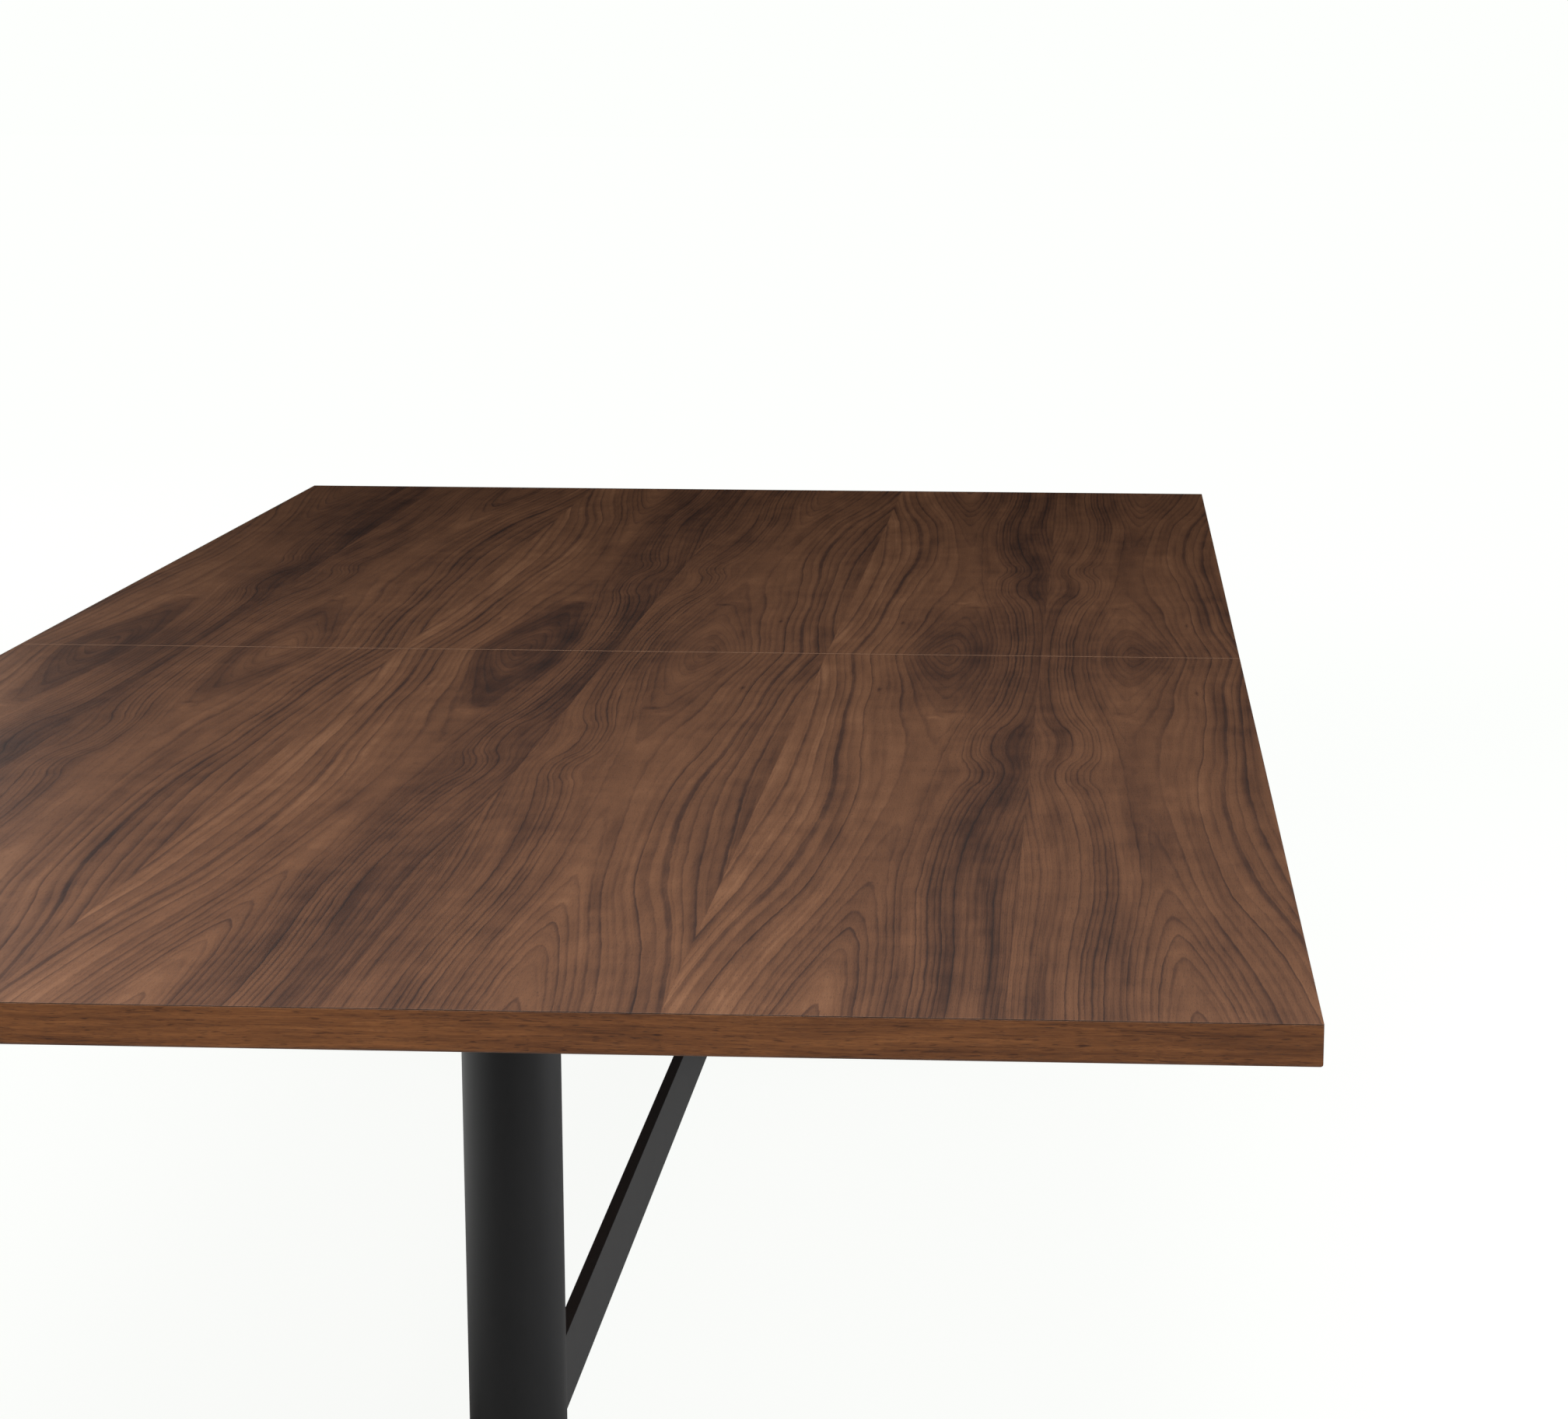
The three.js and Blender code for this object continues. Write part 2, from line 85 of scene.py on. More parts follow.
# ---- fasteners ----
BOLT_SHANK = 4 * MM           # radii
BOLT_HEAD = 7 * MM
BOLT_HEAD_HEIGHT = 4.4 * MM
BOLT_SOCKET = 5 * MM          # across the flats
SCREW_SHANK = 2.5 * MM
SCREW_HEAD = 5 * MM
SCREW_HEAD_HEIGHT = 3 * MM
SCREW_SOCKET = 3 * MM
SCREW_PLAIN = 5 * MM          # head and plain neck, below the thread
SCREW_ROOT = 1.8 * MM
SCREW_PITCH = 2.4 * MM
THREAD_STEPS = 8              # rings in one turn of a thread

# ---- levelling glides ----
GLIDE_NECK = 6.2 * MM
GLIDE_STEM = 4 * MM
GLIDE_PITCH = 1.25 * MM
GLIDE_THREAD = 0.62 * MM      # depth
GLIDE_HEX = 13 * MM           # across the flats
GLIDE_HEX_CORNER = 6.7 * MM   # corners turned down to this radius at both ends
GLIDE_HEX_LOW = 6.7 * MM
GLIDE_HEX_HIGH = 11.7 * MM
HEX_CHAMFER = 0.5 * MM

# ---- weld beads ----
HEAD_BEAD = 2.8 * MM          # radii
FOOT_BEAD = 2.4 * MM
BEAD_RIPPLE = 4 * MM          # travel of one pass of the torch
BEAD_SIDES = 14

ROUND = 48                    # facets round a turned piece
ANGLES = np.arange(ROUND) / ROUND * 2 * np.pi


# ======================================================================
# Node wiring
# ======================================================================

class Signal:
    """A socket that takes part in sums: each operation adds one Math node to its tree."""

    def __init__(self, net, socket):
        self.net = net
        self.socket = socket

    def __add__(self, other):
        return self.net.math("ADD", self, other)

    __radd__ = __add__

    def __mul__(self, other):
        return self.net.math("MULTIPLY", self, other)

    __rmul__ = __mul__

    def __sub__(self, other):
        return self.net.math("SUBTRACT", self, other)

    def __rsub__(self, other):
        return self.net.math("SUBTRACT", other, self)

    def __truediv__(self, other):
        return self.net.math("DIVIDE", self, other)

    def __abs__(self):
        return self.net.math("ABSOLUTE", self)


class Net:
    """Short words for the nodes of one material or node group."""

    def __init__(self, tree):
        self.tree = tree

    def node(self, kind, **settings):
        """A new node with its settings."""
        made = self.tree.nodes.new(kind)
        for name, value in settings.items():
            setattr(made, name, value)
        return made

    def feed(self, socket, value):
        """Links a signal to a socket, or sets a plain value on it."""
        if isinstance(value, Signal):
            self.tree.links.new(value.socket, socket)
        else:
            socket.default_value = value

    def math(self, operation, *values):
        """One Math node on the values."""
        made = self.node("ShaderNodeMath", operation=operation)
        for socket, value in zip(made.inputs, values):
            self.feed(socket, value)
        return Signal(self, made.outputs[0])

    def between(self, value, low, high):
        """0 below low, 1 above high, smooth between."""
        made = self.node("ShaderNodeMapRange", interpolation_type="SMOOTHSTEP")
        for name, item in (("Value", value), ("From Min", low), ("From Max", high)):
            self.feed(made.inputs[name], item)
        return Signal(self, made.outputs["Result"])

    def curve(self, value, points, low, high):
        """A drawn curve through (0..1, height) points, scaled to run from low to high."""
        made = self.node("ShaderNodeFloatCurve")
        line = made.mapping.curves[0]
        for x, y in points[1:-1]:
            line.points.new(x, y)
        line.points[0].location = points[0]
        line.points[-1].location = points[-1]
        made.mapping.update()
        self.feed(made.inputs["Value"], value)
        return Signal(self, made.outputs["Value"]) * (high - low) + low

    def hump(self, x, y, at, spread):
        """A round-topped hill of height 1 at a point, falling off over its two spreads."""
        dx = (x - at[0]) / spread[0]
        dy = (y - at[1]) / spread[1]
        return self.math("EXPONENT", (dx * dx + dy * dy) * -1.0)

    def split(self, vector):
        """The three parts of a vector."""
        made = self.node("ShaderNodeSeparateXYZ")
        self.feed(made.inputs[0], vector)
        return [Signal(self, out) for out in made.outputs]

    def pack(self, x, y, z=0.0):
        """A vector of three values."""
        made = self.node("ShaderNodeCombineXYZ")
        for socket, value in zip(made.inputs, (x, y, z)):
            self.feed(socket, value)
        return Signal(self, made.outputs[0])

    def noise(self, vector, scale, detail=2.0, roughness=0.5):
        """Smooth noise about 0.5, with scale features to a metre."""
        made = self.node("ShaderNodeTexNoise")
        self.feed(made.inputs["Vector"], vector)
        self.feed(made.inputs["Scale"], scale)
        self.feed(made.inputs["Detail"], detail)
        self.feed(made.inputs["Roughness"], roughness)
        return Signal(self, made.outputs["Fac"])

    def chance(self, value):
        """A fixed random number for each value."""
        made = self.node("ShaderNodeTexWhiteNoise", noise_dimensions="1D")
        self.feed(made.inputs["W"], value)
        return Signal(self, made.outputs["Value"])

    def ramp(self, value, stops, smooth=True):
        """A colour for each value, from (place, colour) stops."""
        made = self.node("ShaderNodeValToRGB")
        band = made.color_ramp
        band.interpolation = "EASE" if smooth else "LINEAR"
        for place, colour in stops[1:-1]:
            band.elements.new(place).color = (*colour, 1)
        band.elements[0].position, band.elements[0].color = stops[0][0], (*stops[0][1], 1)
        band.elements[-1].position, band.elements[-1].color = stops[-1][0], (*stops[-1][1], 1)
        self.feed(made.inputs[0], value)
        return Signal(self, made.outputs[0])

    def blend(self, amount, first, second, mode="MIX"):
        """The first colour at amount 0 and the second at 1, or both combined in another mode."""
        made = self.node("ShaderNodeMix", data_type="RGBA", blend_type=mode)
        sockets = (made.inputs[0], made.inputs[6], made.inputs[7])
        for socket, value in zip(sockets, (amount, first, second)):
            self.feed(socket, value if isinstance(value, (Signal, float)) else (*value, 1))
        return Signal(self, made.outputs[2])

    def bump(self, height, distance, strength=1.0):
        """A normal tilted by a height that is distance metres deep at 1."""
        made = self.node("ShaderNodeBump")
        self.feed(made.inputs["Height"], height)
        made.inputs["Distance"].default_value = distance
        made.inputs["Strength"].default_value = strength
        return Signal(self, made.outputs[0])

    def use(self, group, **values):
        """Places a node group and returns its outputs by name."""
        made = self.node("ShaderNodeGroup", node_tree=group)
        for name, value in values.items():
            self.feed(made.inputs[name], value)
        return {out.name: Signal(self, out) for out in made.outputs}


def new_group(name, inputs, outputs):
    """A shader node group with (name, kind) inputs and outputs."""
    tree = bpy.data.node_groups.new(name, "ShaderNodeTree")
    kinds = {"value": "NodeSocketFloat", "vector": "NodeSocketVector"}
    for label, kind in inputs:
        tree.interface.new_socket(label, in_out="INPUT", socket_type=kinds[kind])
    for label, kind in outputs:
        tree.interface.new_socket(label, in_out="OUTPUT", socket_type=kinds[kind])
    net = Net(tree)
    source = net.node("NodeGroupInput")
    given = {out.name: Signal(net, out) for out in source.outputs if out.name}
    sink = net.node("NodeGroupOutput")
    return net, given, sink


def new_material(name, **fixed):
    """A Principled material; fixed gives the values that are the same all over it."""
    material = bpy.data.materials.new(name)
    material.use_nodes = True
    net = Net(material.node_tree)
    shader = next(n for n in material.node_tree.nodes if n.type == "BSDF_PRINCIPLED")
    for label, value in fixed.items():
        shader.inputs[label.replace("_", " ")].default_value = value
    return material, net, shader


def place_of(net):
    """Where a point of the piece is, in metres in the table's frame."""
    return Signal(net, net.node("ShaderNodeTexCoord").outputs["Object"])


def facing_up(net):
    """1 on faces that look straight up, 0 on upright ones, -1 on undersides."""
    geometry = net.node("ShaderNodeNewGeometry")
    return net.split(Signal(net, geometry.outputs["Normal"]))[2]


# ======================================================================
# Walnut
# ======================================================================

WALNUT_TONES = (
    (0.00, (0.027, 0.010, 0.006)),
    (0.25, (0.073, 0.028, 0.014)),
    (0.50, (0.145, 0.060, 0.028)),
    (0.75, (0.215, 0.093, 0.043)),
    (1.00, (0.310, 0.144, 0.070)),
)


def veneer_figure():
    """The figure of one walnut leaf, laid book-matched across the table and mirrored at the
    middle joint. Growth rings are contours of a radius: how far a point is from the tree's
    heart, whose line wanders under the leaf. Where the heart comes nearest the sheet the rings
    close into an eye, and towards the table's end they open into arches."""
    net, given, sink = new_group(
        "veneer figure",
        [("Position", "vector")],
        [("Tone", "value"), ("Line", "value"), ("Pore", "value")],
    )
    x, y, _ = net.split(given["Position"])
    along = abs(y)
    reach = along / HALF_LENGTH
    step = (x - LEAF_JOINT) / LEAF
    leaf = net.math("FLOOR", step)
    from_left = net.math("FRACT", step)
    across = net.math("PINGPONG", x - LEAF_JOINT, LEAF)
    # 1 on every other leaf, which lies flipped in the book match; its eyes carry painted shade below.
    flipped_leaf_shade = net.math("PINGPONG", leaf, 1.0)

    # The heart's line: its distance from the close-grained joint, and its depth under the leaf.
    # Each curve runs over the half length, from the middle joint at 0 to the table's end at 1.
    centre = net.curve(reach, (
        (0.0, 0.51), (0.245, 0.38), (0.45, 0.46), (0.74, 0.66), (1.0, 0.82),
    ), 0.06, 0.16)
    depth = net.curve(reach, (
        (0.0, 0.09), (0.065, 0.38), (0.13, 0.60), (0.17, 0.68), (0.245, 0.79), (0.32, 0.86),
        (0.45, 0.90), (0.58, 0.89), (0.68, 0.85), (0.74, 0.80), (0.81, 0.68), (0.90, 0.48),
        (1.0, 0.27),
    ), 0.0, 0.060)
    side = across - centre
    near_side = net.between(side, 0.02, -0.02)
    spread = side / 0.040
    flank = 1.0 - net.math("EXPONENT", spread * spread * -1.0)

    # The sideways bends of the rings on each side of the heart, least close to the leaf joints.
    near_bend = net.curve(reach, (
        (0.0, 0.50), (0.19, 0.50), (0.27, 0.63), (0.316, 0.74), (0.368, 0.68), (0.415, 0.44),
        (0.445, 0.37), (0.485, 0.46), (0.57, 0.56), (0.71, 0.58), (0.90, 0.50), (1.0, 0.50),
    ), -0.05, 0.05)
    far_bend = net.curve(reach, (
        (0.0, 0.50), (0.168, 0.62), (0.235, 0.67), (0.303, 0.62), (0.368, 0.56), (0.435, 0.44),
        (0.506, 0.35), (0.64, 0.28), (0.735, 0.28), (0.81, 0.38), (0.90, 0.48), (1.0, 0.52),
    ), -0.05, 0.05)
    near_bend = near_bend * (0.25 + net.between(across, 0.0, 0.060) * 0.75)
    far_bend = far_bend * (1.0 - net.between(across, 0.165, 0.245) * 0.75)
    turned = side - flank * (far_bend + near_side * (near_bend - far_bend))

    # Distance from the heart: the 1.6th root of the sum of both distances to the 1.6th power.
    reach_out = net.math("POWER", turned * turned + 1e-6, 0.80)
    radius = net.math("POWER", reach_out + net.math("POWER", depth, 1.60), 0.625)

    # What makes rings uneven: slow drift, ripples, a knot and the pin knots beside it.
    drift = net.noise(net.pack(across, along * 0.14, leaf * 0.012), 9.0, 2.0, 0.5) - 0.5
    ripple = net.noise(net.pack(across, along * 0.45, leaf * 0.02), 42.0, 2.0) - 0.5
    shiver = net.noise(net.pack(across, along * 0.9, leaf * 0.1), 160.0, 1.0) - 0.5
    knot = net.hump(across, along, (0.094, 0.366), (0.020, 0.020))
    swirl = net.noise(net.pack(across, along * 0.8, leaf * 0.03), 75.0, 2.0) - 0.5
    pin = net.hump(across, along, (0.175, 0.232), (0.006, 0.020))
    radius = radius + drift * 0.010 + ripple * 0.0026 + shiver * 0.0006
    radius = radius + knot * swirl * 0.012 - pin * 0.003

    # Rings stand apart on the far side and crowd on the near side, cut closer to the quarter.
    outer = net.math("MAXIMUM", radius - 0.050, 0.0)
    far_side = 1.0 - near_side
    warp = net.noise(net.pack(radius, leaf * 0.001, 0.0), 90.0, 1.0)
    rings = (radius + outer * (near_side * 0.16 - far_side * 0.42)) / RING_PITCH + warp * 1.0
    slope = abs(turned) / net.math("MAXIMUM", radius, 0.004)
    slope = net.math("MINIMUM", slope * 0.80 + 0.20, 1.0)
    calm = net.hump(across, along, (0.108, 0.74), (0.050, 0.34))
    eye = net.between(radius, 0.056, 0.044) * net.between(along, 0.42, 0.30)
    fade = net.noise(net.pack(across, along * 0.25, leaf * 0.3), 30.0, 2.0)

    # The late wood at the end of each ring, a line of its own strength, and finer lines between.
    count = net.math("FLOOR", rings)
    part = net.math("FRACT", rings)
    strength = net.math("POWER", net.chance(count), 1.3)
    strength = strength + (0.62 - strength) * eye
    late = net.between(part, 0.86 - slope * 0.50, 0.90) * 0.62 + net.between(part, 0.15, 0.95) * 0.38
    late = late * net.between(part, 1.0, 0.92)
    line = late * (0.18 + strength * 0.70) * (0.45 + fade * 1.1)
    line = line * (1.0 - calm * 0.55) * (1.0 - knot * 0.8)

    small = rings * 2.7 + 0.3
    small_part = net.math("FRACT", small)
    small_line = net.between(small_part, 0.2, 0.85) * net.between(small_part, 1.0, 0.88)
    small_line = small_line * net.chance(net.math("FLOOR", small)) * slope * (1.0 - calm * 0.5)

    # Broad bands that follow the rings, clouds, and the fibre along the leaf.
    band = net.noise(net.pack(radius, along * 0.03, leaf * 0.05), 48.0, 2.0, 0.6) - 0.5
    cloud = net.noise(net.pack(across, along * 0.45, leaf * 0.1), 9.0, 3.0) - 0.5
    mottle = net.noise(net.pack(across * 0.8, along, leaf), 26.0, 2.0) - 0.5
    fibre = net.noise(net.pack(across, along * 0.03, leaf), 560.0, 3.0, 0.7) - 0.5
    grit = net.noise(net.pack(across, along * 0.22, leaf), 1500.0, 1.0) - 0.5
    streak = net.noise(net.pack(across, along * 0.10, leaf * 0.2), 55.0, 3.0, 0.6) - 0.5

    tone = 0.66 + band * 0.80 + cloud * 0.35 + mottle * 0.28
    tone = tone + streak * 0.45 + fibre * 0.34 + grit * 0.20
    tone = tone - line * (0.44 - eye * 0.20) - small_line * (0.17 - eye * 0.09)
    tone = tone - near_side * flank * 0.15 + far_side * flank * 0.03
    # Each leaf is a little lighter towards its left edge, and its eye darker. The extra darkening of the
    # eyes on every other, flipped leaf is painted shade: it stands in for the sheen that a book-matched
    # leaf throws back differently from its neighbour.
    tone = tone + (0.5 - from_left) * 0.16 - eye * (0.07 + flipped_leaf_shade * 0.19)

    # Single marks: the knot's pale swirl and dark rim, a pin knot, a pale dash and a dark fleck.
    tone = tone + net.hump(across, along, (0.108, 0.385), (0.016, 0.022)) * (0.10 + swirl * 0.8)
    tone = tone - net.hump(across, along, (0.091, 0.357), (0.010, 0.008)) * 0.22
    tone = tone - net.hump(across, along, (0.176, 0.230), (0.0022, 0.010)) * 0.30
    tone = tone + net.hump(across, along, (0.018, 0.138), (0.010, 0.0022)) * 0.16
    tone = tone - net.hump(across, along, (0.104, 0.664), (0.0030, 0.006)) * 0.14

    pore_field = net.noise(net.pack(across, along * 0.05, leaf * 3.0), 2100.0, 1.0)
    pore = net.between(pore_field, 0.60, 0.70)
    net.feed(sink.inputs["Tone"], tone)
    net.feed(sink.inputs["Line"], line)
    net.feed(sink.inputs["Pore"], pore)
    return net.tree


def walnut_face(figure):
    """Book-matched walnut under a semi-matte lacquer."""
    material, net, shader = new_material("walnut_face", Specular_IOR_Level=0.5)
    place = place_of(net)
    leaf = net.use(figure, Position=place)
    wood = net.ramp(leaf["Tone"], WALNUT_TONES, smooth=False)
    wood = net.blend(leaf["Pore"] * 0.35, wood, (0.02, 0.011, 0.008))
    _, y, _ = net.split(place)
    joint = net.between(abs(y), 2.4 * MM, 1.0 * MM)
    wood = net.blend(joint * 0.75, wood, (0.33, 0.175, 0.098))
    # Faces of the veneer that do not look up, its thin cut edges, are darkened almost to black, except
    # at the middle joint.
    edge = net.between(facing_up(net), 0.75, 0.35) * (1.0 - joint)
    wood = net.blend(edge * 0.85, wood, (0.035, 0.018, 0.010))
    net.feed(shader.inputs["Base Color"], wood)
    net.feed(shader.inputs["Roughness"], 0.40 + leaf["Pore"] * 0.12 + leaf["Line"] * 0.04)
    height = leaf["Pore"] * -1.0 + leaf["Line"] * -0.25
    net.feed(shader.inputs["Normal"], net.bump(height, 0.03 * MM))
    return material


def plain_walnut(name, vector_of, tint, roughness):
    """Straight-grained walnut: long streaks and fine lines along the first coordinate."""
    material, net, shader = new_material(name)
    along, over, away = net.split(vector_of(net))
    sway = (net.noise(net.pack(along * 0.5, over, away), 6.0, 3.0) - 0.5) * 0.018
    shake = (net.noise(net.pack(along * 2.0, over, away), 30.0, 2.0) - 0.5) * 0.0022
    cross = over + sway + shake
    deep = away + sway
    streak = net.noise(net.pack(along * 0.030, cross, deep), 260.0, 4.0, 0.62) - 0.5
    broad = net.noise(net.pack(along * 0.06, cross, deep), 60.0, 2.0) - 0.5
    fine = net.noise(net.pack(along * 0.030, cross, deep), 1000.0, 3.0, 0.7) - 0.5
    cloud = net.noise(net.pack(along * 0.5, over, away), 8.0, 2.0) - 0.5
    fleck = net.between(net.noise(net.pack(along * 0.09, cross, deep), 900.0, 1.0), 0.60, 0.74)
    pore = net.between(net.noise(net.pack(along * 0.05, cross, deep), 1700.0, 1.0), 0.60, 0.70)
    tone = 0.57 + streak * 1.0 + broad * 0.4 + fine * 0.75 + cloud * 0.35 - fleck * 0.30
    wood = net.ramp(tone, WALNUT_TONES, smooth=False)
    wood = net.blend(1.0, wood, tint, mode="MULTIPLY")
    wood = net.blend(pore * 0.35, wood, (0.02, 0.009, 0.006))
    net.feed(shader.inputs["Base Color"], wood)
    net.feed(shader.inputs["Roughness"], roughness + pore * 0.12)
    net.feed(shader.inputs["Normal"], net.bump(pore * -1.0 + fine * 0.3, 0.03 * MM))
    return material


def along_x(net):
    """Grain across the table."""
    return place_of(net)


def along_y(net):
    """Grain along the table."""
    x, y, z = net.split(place_of(net))
    return net.pack(y, x, z)


def core_board():
    """Pressed wood board: pale chips of many sizes."""
    material, net, shader = new_material("core_board", Roughness=0.9)
    place = place_of(net)
    chip = net.node("ShaderNodeTexVoronoi")
    net.feed(chip.inputs["Vector"], place)
    chip.inputs["Scale"].default_value = 420.0
    tone = Signal(net, chip.outputs["Distance"]) * 0.6 + net.noise(place, 900.0, 2.0) * 0.4
    wood = net.ramp(tone, (
        (0.1, (0.22, 0.13, 0.07)), (0.5, (0.42, 0.28, 0.16)), (0.9, (0.60, 0.44, 0.28)),
    ))
    net.feed(shader.inputs["Base Color"], wood)
    net.feed(shader.inputs["Normal"], net.bump(tone, 0.15 * MM))
    return material


def beech_dowel():
    """Pale dowel wood with short flecks along it."""
    material, net, shader = new_material("beech", Roughness=0.75)
    x, y, z = net.split(place_of(net))
    grain = net.noise(net.pack(x, y * 0.06, z), 700.0, 3.0)
    wood = net.ramp(grain, (
        (0.3, (0.45, 0.27, 0.14)), (0.55, (0.62, 0.42, 0.24)), (0.8, (0.70, 0.50, 0.31)),
    ))
    net.feed(shader.inputs["Base Color"], wood)
    net.feed(shader.inputs["Normal"], net.bump(grain, 0.05 * MM))
    return material


# ======================================================================
# Metal
# ======================================================================

def powder_coat():
    """Matte black powder coat: a fine pebbled skin, a shade paler where it is thin."""
    material, net, shader = new_material("powder_coat", Specular_IOR_Level=0.5)
    place = place_of(net)
    pebble = net.noise(place, 1500.0, 2.0, 0.6)
    haze = net.noise(place, 9.0, 3.0)
    coat = net.ramp(haze, ((0.3, (0.0115, 0.0122, 0.0135)), (0.7, (0.0150, 0.0158, 0.0172))))
    net.feed(shader.inputs["Base Color"], coat)
    net.feed(shader.inputs["Roughness"], 0.50 + (haze - 0.5) * 0.06 + pebble * 0.05)
    net.feed(shader.inputs["Normal"], net.bump(pebble, 0.04 * MM, 0.5))
    return material


def zinc_steel():
    """Bright zinc with faint turning marks and a cloudy passivation tint."""
    material, net, shader = new_material("zinc_steel", Metallic=1.0)
    place = place_of(net)
    cloud = net.noise(place, 90.0, 3.0)
    scratch = net.noise(place, 2400.0, 2.0)
    tint = net.ramp(cloud, ((0.3, (0.46, 0.47, 0.50)), (0.7, (0.60, 0.61, 0.60))))
    net.feed(shader.inputs["Base Color"], tint)
    net.feed(shader.inputs["Roughness"], 0.28 + cloud * 0.15 + scratch * 0.10)
    net.feed(shader.inputs["Normal"], net.bump(scratch, 0.01 * MM))
    return material


def black_steel():
    """Black oxide on turned steel."""
    material, net, shader = new_material("black_steel", Metallic=0.9)
    place = place_of(net)
    cloud = net.noise(place, 160.0, 3.0)
    tint = net.ramp(cloud, ((0.3, (0.020, 0.020, 0.022)), (0.7, (0.045, 0.045, 0.048))))
    net.feed(shader.inputs["Base Color"], tint)
    net.feed(shader.inputs["Roughness"], 0.36 + cloud * 0.14)
    net.feed(shader.inputs["Normal"], net.bump(net.noise(place, 2000.0, 2.0), 0.01 * MM))
    return material


MATERIALS = {
    "walnut_face": walnut_face(veneer_figure()),
    "walnut_band": plain_walnut("walnut_band", along_x, (1.14, 0.995, 0.67), 0.42),
    "walnut_side_band": plain_walnut("walnut_side_band", along_y, (1.14, 0.995, 0.67), 0.42),
    "walnut_backing": plain_walnut("walnut_backing", along_y, (1.0, 1.0, 1.0), 0.55),
    "core_board": core_board(),
    "beech": beech_dowel(),
    "powder_coat": powder_coat(),
    "zinc_steel": zinc_steel(),
    "black_steel": black_steel(),
}


# ======================================================================
# Pieces
# ======================================================================

def dress_frame():
    """Gives every CAD node the finish that the record names for it."""
    for row in frame["record"]["subparts"]:
        finish = row["material_slot"]
        if row["node"].endswith(("left_band", "right_band")):
            finish = "walnut_side_band"
        node = frame["nodes"][row["node"]]
        node.data.materials.clear()
        node.data.materials.append(MATERIALS[finish])


def add_piece(name, mesh, finish, body="table", stands_for=()):
    """Puts a finished mesh in the scene, on its body and in the place of its CAD nodes."""
    mesh.materials.clear()
    mesh.materials.append(MATERIALS[finish])
    mesh.polygons.foreach_set("use_smooth", np.ones(len(mesh.polygons), dtype=bool))
    mesh.set_sharp_from_angle(angle=math.radians(35))
    piece = bpy.data.objects.new(name, mesh)
    bpy.context.scene.collection.objects.link(piece)
    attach(piece, body)
    if stands_for:
        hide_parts(*stands_for)
    return piece


def add_eased(node, finish, ease):
    """A CAD piece with each flat face whole again and its sharp edges rounded by ease."""
    mesh = frame["nodes"][node].data.copy()
    form = bmesh.new()
    form.from_mesh(mesh)
    bmesh.ops.remove_doubles(form, verts=form.verts, dist=MM / 500)
    bmesh.ops.dissolve_limit(form, angle_limit=math.radians(1), verts=form.verts, edges=form.edges)
    form.to_mesh(mesh)
    form.free()
    piece = add_piece(node + "_eased", mesh, finish, stands_for=[node])
    rounding = piece.modifiers.new("ease", "BEVEL")
    rounding.width = ease
    rounding.segments = 2
    rounding.limit_method = "ANGLE"
    rounding.angle_limit = math.radians(40)
    rounding.harden_normals = True
    return piece


def grid_faces(rows, columns):
    """Quads between rings of equal size, each ring closed on itself."""
    ring = np.arange(columns)
    after = (ring + 1) % columns
    low = np.arange(rows - 1)[:, None] * columns
    high = low + columns
    return np.stack([low + ring, low + after, high + after, high + ring], -1).reshape(-1, 4)


def cap_faces(rows, columns, first, last):
    """Triangles from the pole point first to the first ring, and from last to the last ring."""
    ring = np.arange(columns)
    after = (ring + 1) % columns
    top = (rows - 1) * columns
    low_cap = np.stack([np.full(columns, first), after, ring], -1)
    high_cap = np.stack([np.full(columns, last), top + ring, top + after], -1)
    return np.concatenate([low_cap, high_cap]).tolist()


def mesh_of(name, points, faces):
    """A mesh of an array of points and a list of faces."""
    mesh = bpy.data.meshes.new(name)
    mesh.from_pydata(points.tolist(), [], faces)
    mesh.update()
    return mesh


def hexagon(across_flats):
    """Distance from a hexagon's middle to its edge at each angle: the half width over the cosine
    of the angle left to the nearest flat."""
    return across_flats / 2 / np.cos((ANGLES % (np.pi / 3)) - np.pi / 6)


def turned_mesh(name, heights, radii, foot, along):
    """A turned surface: ring i stands at heights[i] along the axis, and its radius at angle j is
    radii[i, j]. A fan of triangles round one point closes each end."""
    heights = np.asarray(heights)
    radii = np.asarray(radii)
    rings = np.stack([
        radii * np.cos(ANGLES), radii * np.sin(ANGLES), np.repeat(heights[:, None], ROUND, 1),
    ], -1).reshape(-1, 3)
    poles = np.array([[0, 0, heights[0]], [0, 0, heights[-1]]])
    points = np.concatenate([rings, poles])
    turn = np.array(Vector(along).to_track_quat("Z", "Y").to_matrix())
    points = points @ turn.T + np.asarray(foot)
    faces = grid_faces(len(heights), ROUND).tolist()
    faces += cap_faces(len(heights), ROUND, len(rings), len(rings) + 1)
    return mesh_of(name, points, faces)


def helix_rows(start, end, pitch):
    """Rings from start to end for a thread, and how far round its turn each of their points is:
    its height over the pitch plus its angle's share of a turn, without the whole turns."""
    rows = np.arange(start, end, pitch / THREAD_STEPS)
    return rows, (rows[:, None] / pitch + ANGLES / (2 * np.pi)) % 1


def lathe_rows(profile):
    """Rings of a plain turned profile given as (radius, height) pairs."""
    radii = np.array([radius for radius, _ in profile])[:, None] * np.ones(ROUND)
    return [height for _, height in profile], radii


